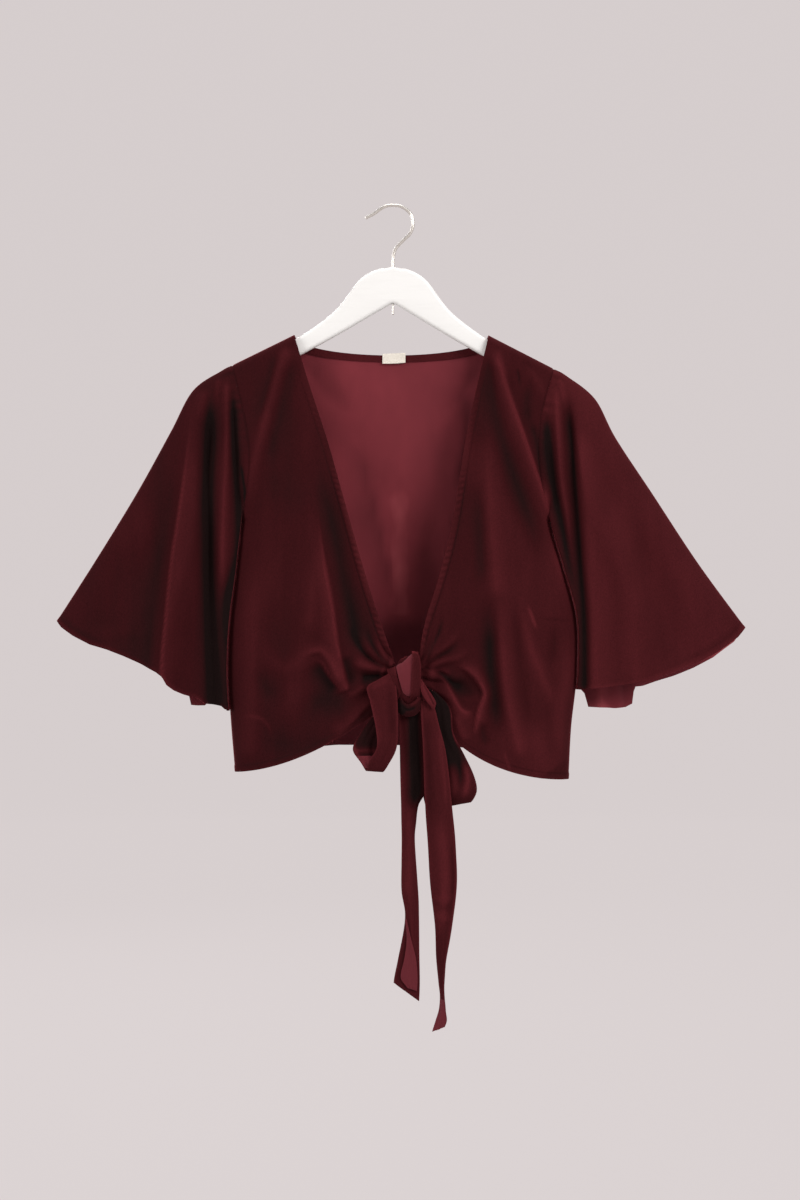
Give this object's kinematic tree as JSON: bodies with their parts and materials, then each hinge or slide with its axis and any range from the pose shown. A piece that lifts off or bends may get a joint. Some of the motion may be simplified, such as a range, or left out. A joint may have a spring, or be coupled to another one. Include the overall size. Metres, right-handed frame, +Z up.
{
  "type": "wrap top on a hanger",
  "caption": "Velvet wrap top with an open neckline, a tied bow at the front hem and flared short sleeves, hanging on a wooden hanger with a wire hook.",
  "frame": {"origin": "inner crown of the hanger's hook, where it rests on a rail", "axes": "+Z up, the garment's front faces -Y, +X to the right as seen from the front"},
  "size_m": [0.7636, 0.1181, 0.9095],
  "materials": {
    "velvet": "burgundy velvet pile, matte with a soft sheen",
    "label": "plain woven label, blank",
    "hanger_wood": "white lacquer, satin",
    "hook_chrome": "polished wire"
  },
  "bodies": {
    "root": {"back": "velvet", "front_left": "velvet", "front_right": "velvet", "sleeve_left": "velvet", "sleeve_right": "velvet", "neck_band": "velvet", "label": "label", "tie_knot": "velvet", "tie_loop_left": "velvet", "tie_loop_right": "velvet", "tie_tail_left": "velvet", "tie_tail_right": "velvet", "hanger_body": "hanger_wood", "hanger_hook": "hook_chrome"}
  },
  "joints": []
}
